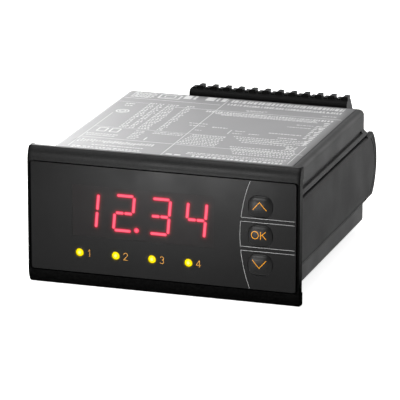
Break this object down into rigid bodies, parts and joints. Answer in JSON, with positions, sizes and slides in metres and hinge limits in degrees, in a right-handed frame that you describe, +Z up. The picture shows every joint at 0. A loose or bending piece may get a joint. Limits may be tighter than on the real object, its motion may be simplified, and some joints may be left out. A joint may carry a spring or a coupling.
{
  "type": "digital panel meter",
  "caption": "Digital panel meter with a light-bar display, relay lamps, press keys, sliding side clamps and pluggable screw-terminal rows.",
  "frame": {"origin": "centre of the panel cut-out, on the panel's front surface", "axes": "+X to the right along the front, +Y back into the panel, +Z up"},
  "size_m": [0.096, 0.1153, 0.0484],
  "materials": {
    "bezel_plastic": "fine satin",
    "gasket_rubber": "matt",
    "front_film": "satin printed film",
    "tinted_window": "smooth satin",
    "key_rubber": "satin",
    "switch_body": "moulded",
    "lamp_resin": "clear diffused resin",
    "digit_case": "matt",
    "light_bar_resin": "diffused resin",
    "circuit_board": "solder-masked laminate",
    "zinc_steel": "zinc plated",
    "housing_plastic": "fine grained",
    "label_film": "satin film",
    "clamp_plastic": "fine grained",
    "relay_case": "moulded",
    "ferrite": "sintered",
    "winding_tape": "wound tape",
    "capacitor_sleeve": "shrunk sleeve",
    "chip_resin": "moulded",
    "header_plastic": "moulded",
    "plated_brass": "plated",
    "plug_plastic": "moulded"
  },
  "bodies": {
    "meter": {"bezel": "bezel_plastic", "panel_gasket": "gasket_rubber", "front_panel": "front_film", "display_window": "tinted_window", "switch_up": "switch_body", "switch_ok": "switch_body", "switch_down": "switch_body", "lamp_1": "lamp_resin", "lamp_2": "lamp_resin", "lamp_3": "lamp_resin", "lamp_4": "lamp_resin", "lamp_spacers": "switch_body", "digit_1": "digit_case", "digit_2": "digit_case", "digit_3": "digit_case", "digit_4": "digit_case", "light_bars_1": "light_bar_resin", "light_bars_2": "light_bar_resin", "light_bars_3": "light_bar_resin", "light_bars_4": "light_bar_resin", "display_board": "circuit_board", "display_board_screws": "zinc_steel", "housing": "housing_plastic", "top_label": "label_film", "upper_board": "circuit_board", "lower_board": "circuit_board", "upper_link": "header_plastic", "lower_link": "header_plastic", "relay_1": "relay_case", "relay_2": "relay_case", "relay_3": "relay_case", "relay_4": "relay_case", "transformer_core": "ferrite", "transformer_coil": "winding_tape", "capacitor_1": "capacitor_sleeve", "capacitor_2": "capacitor_sleeve", "processor": "chip_resin", "converter": "chip_resin", "upper_header": "header_plastic", "lower_header": "header_plastic", "upper_pins": "plated_brass", "lower_pins": "plated_brass"},
    "key_up": {"key_up": "key_rubber", "plunger_up": "switch_body"},
    "key_ok": {"key_ok": "key_rubber", "plunger_ok": "switch_body"},
    "key_down": {"key_down": "key_rubber", "plunger_down": "switch_body"},
    "clamp_left": {"clamp_left": "clamp_plastic"},
    "clamp_right": {"clamp_right": "clamp_plastic"},
    "upper_plug": {"upper_plug": "plug_plastic", "upper_cages": "zinc_steel", "upper_screws": "zinc_steel"},
    "lower_plug": {"lower_plug": "plug_plastic", "lower_cages": "zinc_steel", "lower_screws": "zinc_steel"}
  },
  "joints": [
    {"name": "key_up_press", "type": "slide", "parent": "meter", "child": "key_up", "axis": [0, 1, 0], "range_m": [0, 0.0005], "stiffness_N_per_m": 1200},
    {"name": "key_ok_press", "type": "slide", "parent": "meter", "child": "key_ok", "axis": [0, 1, 0], "range_m": [0, 0.0005], "stiffness_N_per_m": 1200},
    {"name": "key_down_press", "type": "slide", "parent": "meter", "child": "key_down", "axis": [0, 1, 0], "range_m": [0, 0.0005], "stiffness_N_per_m": 1200},
    {"name": "clamp_left_slide", "type": "slide", "parent": "meter", "child": "clamp_left", "axis": [0, 1, 0], "range_m": [0, 0.084]},
    {"name": "clamp_right_slide", "type": "slide", "parent": "meter", "child": "clamp_right", "axis": [0, 1, 0], "range_m": [0, 0.084]},
    {"name": "upper_plug_pull", "type": "slide", "parent": "meter", "child": "upper_plug", "axis": [0, 1, 0], "range_m": [0, 0.012]},
    {"name": "lower_plug_pull", "type": "slide", "parent": "meter", "child": "lower_plug", "axis": [0, 1, 0], "range_m": [0, 0.012]}
  ]
}
